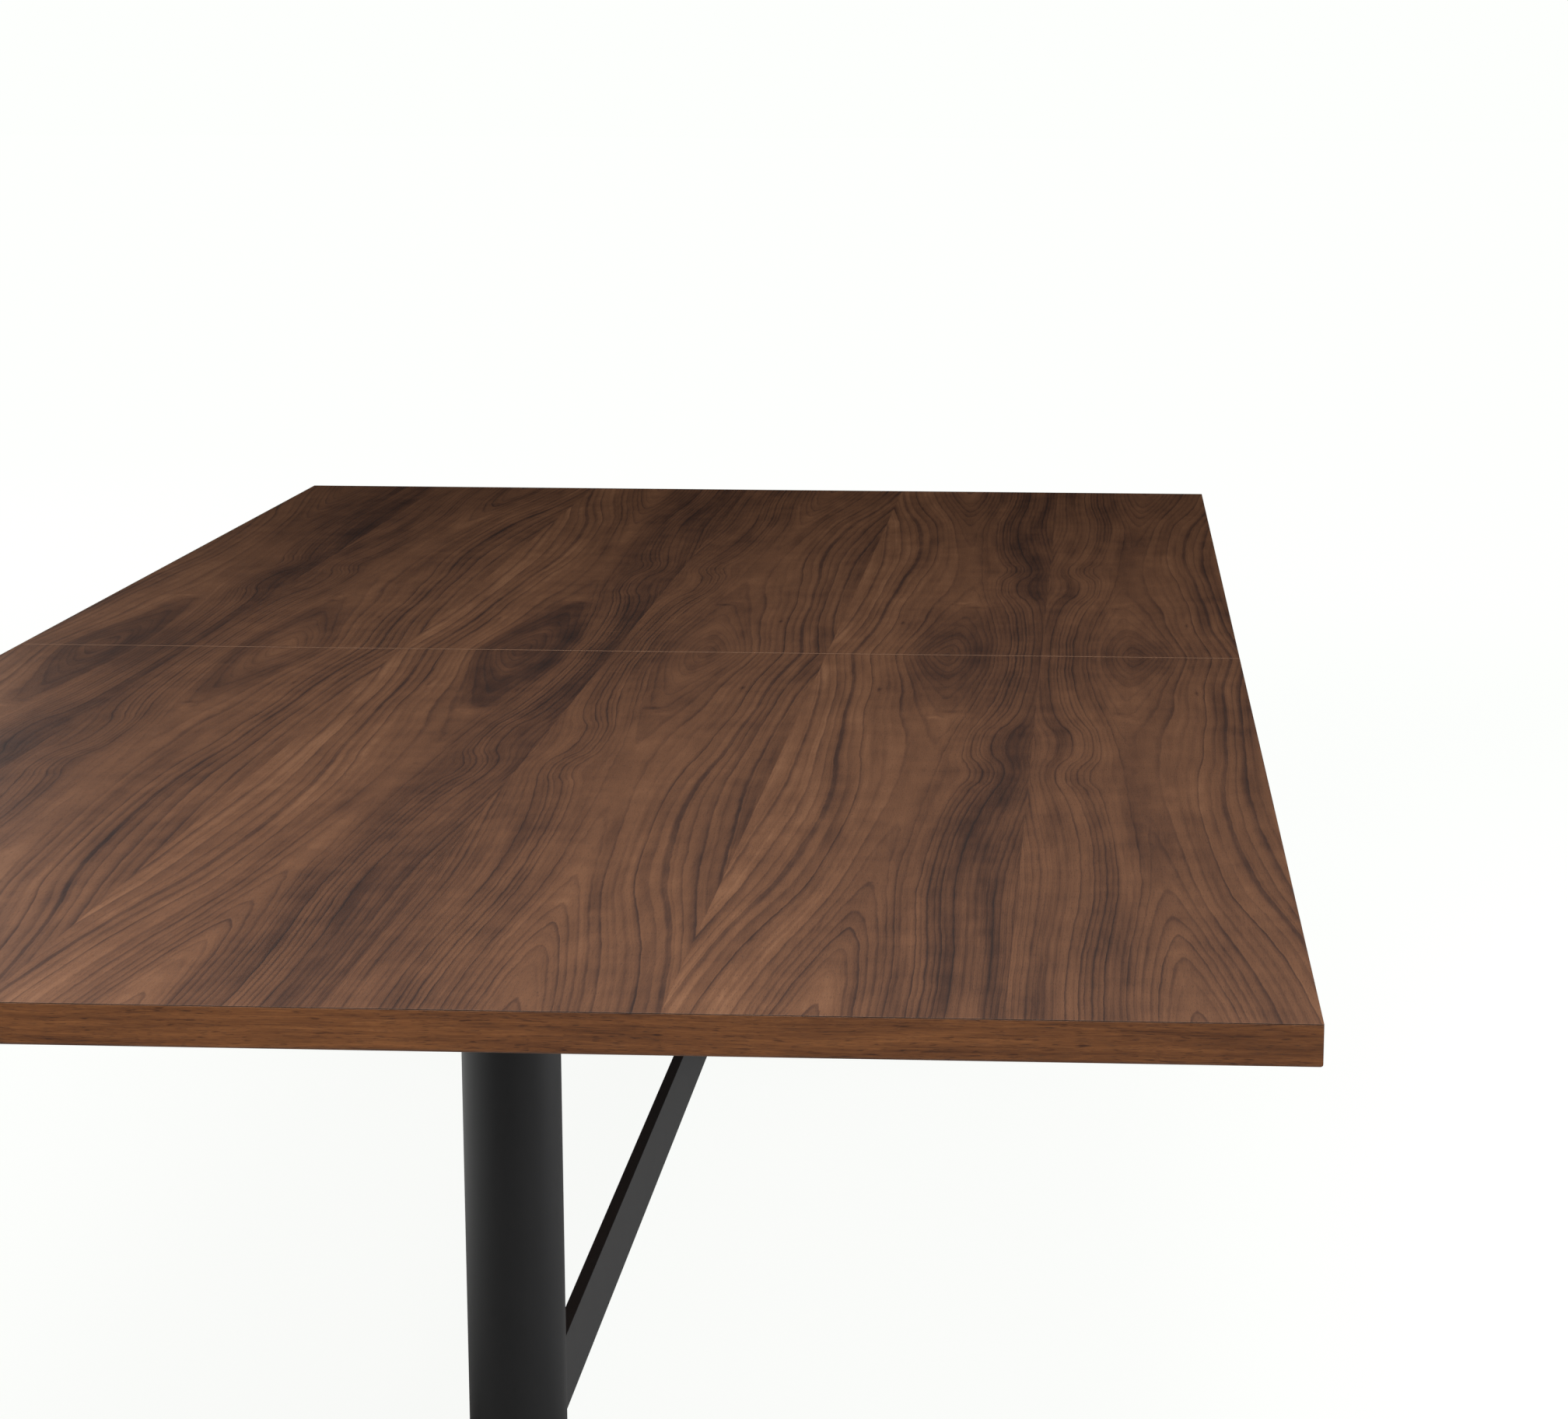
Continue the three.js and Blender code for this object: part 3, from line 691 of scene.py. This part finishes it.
def socket_bolt(shank, head, head_height, socket, length):
    """Rings of a socket bolt, from the socket's floor out over the domed head and down to the
    shank's end, with the head's outer face at height 0. The dome is a quarter of an ellipse."""
    turn = np.linspace(0.15, 1.0, 8) * np.pi / 2
    dome = [(head * (0.45 + 0.55 * math.sin(t)), head_height * 0.8 * (1 - math.cos(t))) for t in turn]
    body = dome + [
        (head, head_height), (shank * 1.04, head_height), (shank, head_height * 1.15),
        (shank, length - shank * 0.3), (shank * 0.75, length),
    ]
    heights, radii = lathe_rows(body)
    depth = head_height * 0.6
    recess = np.stack([hexagon(socket) * 0.30, hexagon(socket), hexagon(socket), hexagon(socket * 1.12)])
    return [depth * 1.15, depth, 0.35 * MM, 0.0] + heights, np.concatenate([recess, radii])


def ends_of(node):
    """A CAD node's lowest and highest corners and its middle."""
    low, high = (Vector(corner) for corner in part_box(node))
    return low, high, (low + high) / 2


def add_upright_bolt(node):
    """A socket bolt whose head points down."""
    low, high, middle = ends_of(node)
    rings = socket_bolt(BOLT_SHANK, BOLT_HEAD, BOLT_HEAD_HEIGHT, BOLT_SOCKET, high.z - low.z)
    mesh = turned_mesh(node, *rings, Vector((middle.x, middle.y, low.z)), (0, 0, 1))
    add_piece(node + "_turned", mesh, "black_steel", stands_for=[node])


def add_saddle_bolt(node, inward):
    """A socket bolt along the table, its head on the side of the table's middle."""
    low, high, middle = ends_of(node)
    rings = socket_bolt(BOLT_SHANK, BOLT_HEAD, BOLT_HEAD_HEIGHT, BOLT_SOCKET, high.y - low.y)
    outer = high.y if inward > 0 else low.y
    mesh = turned_mesh(node, *rings, Vector((middle.x, outer, middle.z)), (0, -inward, 0))
    add_piece(node + "_turned", mesh, "black_steel", stands_for=[node])


def add_rail_screw(node):
    """A wood screw up through a rail: a domed head with a hexagon socket, then a thread whose
    radius is its root plus a narrow crest, the cube of the distance from half way between two
    crests. It tapers to its point."""
    low, high, middle = ends_of(node)
    length = high.z - low.z
    heights, radii = socket_bolt(SCREW_SHANK, SCREW_HEAD, SCREW_HEAD_HEIGHT, SCREW_SOCKET, SCREW_PLAIN)
    rows, phase = helix_rows(SCREW_PLAIN, length, SCREW_PITCH)
    taper = np.clip((length - rows) / (5 * MM), 0.08, 1.0)[:, None]
    crest = 0.7 * MM * np.abs(1 - 2 * phase) ** 3
    thread = taper * (SCREW_ROOT + crest)
    heights = np.concatenate([heights[:-2], rows])
    radii = np.concatenate([radii[:-2], thread])
    mesh = turned_mesh(node, heights, radii, Vector((middle.x, middle.y, low.z)), (0, 0, 1))
    add_piece(node + "_turned", mesh, "zinc_steel", stands_for=[node])


def add_glide(node):
    """A levelling glide: a domed pad, a neck, a hexagon with turned corners, and a stem whose
    thread's depth falls and rises evenly along a helix."""
    low, high, middle = ends_of(node)
    pad = (high.x - low.x) / 2
    base = [(pad - 1.2 * MM, 0.0), (pad - 0.3 * MM, 0.25 * MM), (pad, 0.9 * MM)]
    slope = np.linspace(0, 1.25, 9)
    dome = [(pad * math.cos(t), (1.6 + 3.2 * math.sin(t)) * MM) for t in slope]
    neck = [(6.5 * MM, 4.9 * MM), (GLIDE_NECK, 5.4 * MM), (GLIDE_NECK, GLIDE_HEX_LOW)]
    heights, radii = lathe_rows(base + dome + neck)
    full = hexagon(GLIDE_HEX)
    turned = np.minimum(full, GLIDE_HEX_CORNER)
    flats = np.stack([turned, full, full, turned])
    flat_heights = [
        GLIDE_HEX_LOW, GLIDE_HEX_LOW + HEX_CHAMFER, GLIDE_HEX_HIGH - HEX_CHAMFER, GLIDE_HEX_HIGH,
    ]
    rows, phase = helix_rows(GLIDE_HEX_HIGH, high.z - low.z, GLIDE_PITCH)
    thread = GLIDE_STEM - GLIDE_THREAD * (1 - np.abs(1 - 2 * phase))
    thread[-THREAD_STEPS:] *= np.linspace(1.0, 0.82, THREAD_STEPS)[:, None]
    heights = np.concatenate([heights, flat_heights, rows])
    radii = np.concatenate([radii, flats, thread])
    mesh = turned_mesh(node, heights, radii, Vector((middle.x, middle.y, low.z)), (0, 0, 1))
    add_piece(node + "_turned", mesh, "black_steel", body=node, stands_for=[node])


def bead_mesh(name, path, radius, closed):
    """A weld bead: a round section carried along a path. Its radius swells by up to 13 percent
    with the size of a sine of the distance travelled, once for each pass of the torch. An open
    path ends in a point on each side."""
    if closed:
        ahead = np.roll(path, -1, 0) - np.roll(path, 1, 0)
    else:
        ahead = np.gradient(path, axis=0)
    ahead /= np.linalg.norm(ahead, axis=1)[:, None]
    away = path - path.mean(0)
    away -= (away * ahead).sum(1)[:, None] * ahead
    away /= np.linalg.norm(away, axis=1)[:, None]
    over = np.cross(ahead, away)
    steps = np.linalg.norm(np.diff(path, axis=0), axis=1)
    run = np.concatenate([[0], np.cumsum(steps)])
    size = radius * (1 + 0.13 * np.abs(np.sin(run * np.pi / BEAD_RIPPLE)))
    angle = np.arange(BEAD_SIDES) / BEAD_SIDES * 2 * np.pi
    section = away[:, None] * np.cos(angle)[:, None] + over[:, None] * np.sin(angle)[:, None]
    points = (path[:, None] + section * size[:, None, None]).reshape(-1, 3)
    faces = grid_faces(len(path), BEAD_SIDES).tolist()
    if closed:
        last = (len(path) - 1) * BEAD_SIDES
        ring = np.arange(BEAD_SIDES)
        after = (ring + 1) % BEAD_SIDES
        faces += np.stack([last + ring, last + after, after, ring], -1).tolist()
    else:
        points = np.concatenate([points, path[[0, -1]]])
        faces += cap_faces(len(path), BEAD_SIDES, len(points) - 2, len(points) - 1)
    mesh = mesh_of(name, points, faces)
    form = bmesh.new()
    form.from_mesh(mesh)
    bmesh.ops.recalc_face_normals(form, faces=form.faces)
    form.to_mesh(mesh)
    form.free()
    return mesh


def add_head_weld(end):
    """A closed ring of weld round a column's top, under its head plate."""
    low, high, middle = ends_of(f"{end}_column")
    turn = np.linspace(0, 2 * np.pi, 721)[:-1]
    radius = (high.x - low.x) / 2 + 0.6 * MM
    ring = np.stack([
        middle.x + radius * np.cos(turn), middle.y + radius * np.sin(turn),
        np.full(turn.shape, high.z - 0.6 * MM),
    ], -1)
    mesh = bead_mesh(f"{end}_head_weld", ring, HEAD_BEAD, True)
    add_piece(f"{end}_head_weld", mesh, "powder_coat")


def add_foot_weld(end, side, sign):
    """A weld up, over and down a foot bar where it goes through the column's wall. Its path is
    an upside-down U whose corners are rounded by a moving average."""
    low, high, middle = ends_of(f"{end}_column")
    bar_low, bar_high, _ = ends_of(f"{end}_foot_bar")
    tube = (high.x - low.x) / 2
    half_bar = (bar_high.y - bar_low.y) / 2
    wall = math.sqrt(tube * tube - half_bar * half_bar)
    rise = bar_high.z - bar_low.z
    share = np.linspace(0, 1, 241)
    corners = (0, 0.44, 0.56, 1)
    up = np.interp(share, corners, (0, rise, rise, 0))
    across = np.interp(share, corners, (-half_bar, -half_bar, half_bar, half_bar))
    blur = np.hanning(15) / np.hanning(15).sum()
    up[8:-8] = np.convolve(up, blur, "same")[8:-8]
    across[8:-8] = np.convolve(across, blur, "same")[8:-8]
    path = np.stack([
        np.full(share.shape, middle.x + sign * (wall + 0.4 * MM)), middle.y + across,
        bar_low.z + 2 * MM + up * (rise - 2 * MM) / rise,
    ], -1)
    mesh = bead_mesh(f"{end}_{side}_foot_weld", path, FOOT_BEAD, False)
    add_piece(f"{end}_{side}_foot_weld", mesh, "powder_coat")


def build_pieces():
    """Every piece that stands for a CAD node, and then the welds."""
    for end in ENDS:
        add_eased(f"{end}_face_veneer", "walnut_face", VENEER_EASE)
        add_eased(f"{end}_end_band", "walnut_band", BAND_EASE)
        for side in SIDES:
            # A side band is band veneer too, with its grain along the table.
            band = add_eased(f"{end}_{side}_band", "walnut_band", BAND_EASE)
            band.data.materials[0] = MATERIALS["walnut_side_band"]
        add_eased(f"{end}_column", "powder_coat", TUBE_EASE)
        add_eased(f"{end}_foot_bar", "powder_coat", BAR_EASE)
        add_eased(f"{end}_arm", "powder_coat", BAR_EASE)
        add_eased(f"{end}_head_plate", "powder_coat", PLATE_EASE)
        add_eased(f"{end}_saddle", "powder_coat", PLATE_EASE)
    for side in SIDES:
        add_eased(f"{side}_rail", "powder_coat", CHANNEL_EASE)
    add_eased("stretcher", "powder_coat", CHANNEL_EASE)
    for end, inward in zip(ENDS, (1, -1)):
        for side in SIDES:
            add_upright_bolt(f"{end}_{side}_arm_bolt")
            add_upright_bolt(f"{end}_{side}_head_bolt")
            add_saddle_bolt(f"{end}_{side}_saddle_bolt", inward)
    for side in SIDES:
        for number in range(1, 5):
            add_rail_screw(f"{side}_rail_screw_{number}")
    for end in ENDS:
        for side in SIDES:
            add_glide(f"{end}_{side}_glide")
    for end in ENDS:
        add_head_weld(end)
        for side, sign in zip(SIDES, (-1, 1)):
            add_foot_weld(end, side, sign)


dress_frame()
build_pieces()


# ======================================================================
# Camera, floor and light
# ======================================================================

def add_camera():
    """Stands before the front end, right of the middle, and looks along and down the table."""
    data = bpy.data.cameras.new("camera")
    data.sensor_width = 36.0
    data.lens = 78.38
    data.shift_x = -0.0952
    camera = bpy.data.objects.new("camera", data)
    yaw, pitch, roll = -0.04772, 0.18790, 0.00377
    place = Vector((0.5543, -3.9568, HEIGHT + 0.6876))
    turn = Matrix.Rotation(-yaw, 4, "Z") @ Matrix.Rotation(math.pi / 2 - pitch, 4, "X")
    camera.matrix_world = Matrix.Translation(place) @ turn @ Matrix.Rotation(roll, 4, "Z")
    bpy.context.scene.collection.objects.link(camera)
    bpy.context.scene.camera = camera


def add_floor():
    """A wide pale floor. The eye sees it almost evenly white, with a breath of shadow round the
    feet. The light it throws back is that of a pale floor with a white reflector lying to the
    left of the table."""
    reach = 60.0
    level = -0.3 * MM
    corners = [
        (-reach, -reach, level), (reach, -reach, level), (reach, reach, level), (-reach, reach, level),
    ]
    mesh = bpy.data.meshes.new("floor")
    mesh.from_pydata(corners, [], [(0, 1, 2, 3)])
    floor = bpy.data.objects.new("floor", mesh)
    bpy.context.scene.collection.objects.link(floor)
    material, net, shader = new_material("floor", Roughness=0.9, Specular_IOR_Level=0.0)
    x, y, _ = net.split(place_of(net))
    away = net.math("SQRT", x * x + y * y)
    beside = net.between(y, -2.2, -1.6) * net.between(x, -0.5, -1.0)
    under = net.between(y, -1.6, -1.0) * net.between(abs(x), 0.9, 0.4)
    eye = Signal(net, net.node("ShaderNodeLightPath").outputs["Is Camera Ray"])
    seen = 0.94 + net.between(away, 2.0, 6.0) * 0.06
    thrown = beside * 1.08 + under * 0.22
    net.feed(shader.inputs["Base Color"], net.blend(eye, (0.5, 0.5, 0.5), (0.16, 0.16, 0.16)))
    net.feed(shader.inputs["Emission Strength"], eye * seen + (1.0 - eye) * thrown)
    shader.inputs["Emission Color"].default_value = (0.985, 1.0, 0.98, 1)
    mesh.materials.append(material)


def add_area_light(name, place, aim, size, power):
    """A rectangular softbox that faces its aim. Size is in metres, power in watts."""
    data = bpy.data.lights.new(name, "AREA")
    data.shape = "RECTANGLE"
    data.size, data.size_y = size
    data.energy = power
    light = bpy.data.objects.new(name, data)
    light.location = place
    light.rotation_euler = (Vector(aim) - Vector(place)).to_track_quat("-Z", "Y").to_euler()
    bpy.context.scene.collection.objects.link(light)


def add_sky():
    """White to the eye; for light, a dark studio that is a little brighter behind the camera."""
    world = bpy.data.worlds.new("studio")
    bpy.context.scene.world = world
    world.use_nodes = True
    net = Net(world.node_tree)
    world.node_tree.nodes.clear()
    direction = Signal(net, net.node("ShaderNodeTexCoord").outputs["Generated"])
    ahead = net.split(direction)[1]
    dome = net.blend(net.between(ahead, 0.1, -0.8), (0.004, 0.004, 0.004), (0.06, 0.06, 0.06))
    eye = Signal(net, net.node("ShaderNodeLightPath").outputs["Is Camera Ray"])
    seen = net.blend(eye, dome, (0.985, 1.0, 0.98))
    light = net.node("ShaderNodeBackground")
    net.feed(light.inputs["Color"], seen)
    out = net.node("ShaderNodeOutputWorld")
    world.node_tree.links.new(light.outputs[0], out.inputs[0])


add_camera()
add_floor()
add_sky()
add_area_light("front_softbox", (-0.3, -2.6, 2.7), (0.0, -0.9, 0.6), (2.8, 1.6), 70)
add_area_light("front_right_softbox", (2.6, -3.4, 1.2), (0.3, -1.2, 0.6), (1.6, 1.6), 14)
add_area_light("right_softbox", (3.4, -0.4, 1.1), (0.0, -0.8, 0.5), (2.6, 2.2), 42)
add_area_light("right_rear_softbox", (3.2, 1.8, 0.9), (0.0, -0.8, 0.4), (2.0, 1.8), 19)
add_area_light("overhead_softbox", (0.0, 0.0, 3.4), (0.0, 0.0, 0.7), (3.0, 3.0), 26)
add_area_light("far_glow", (-4.6, 6.5, 3.0), (-0.4, -1.0, 0.7), (3.0, 1.6), 15)
add_area_light("far_strip", (0.3, 3.2, 3.6), (0.0, -1.4, 0.7), (5.0, 1.0), 9)

bpy.context.scene.view_settings.view_transform = "Standard"
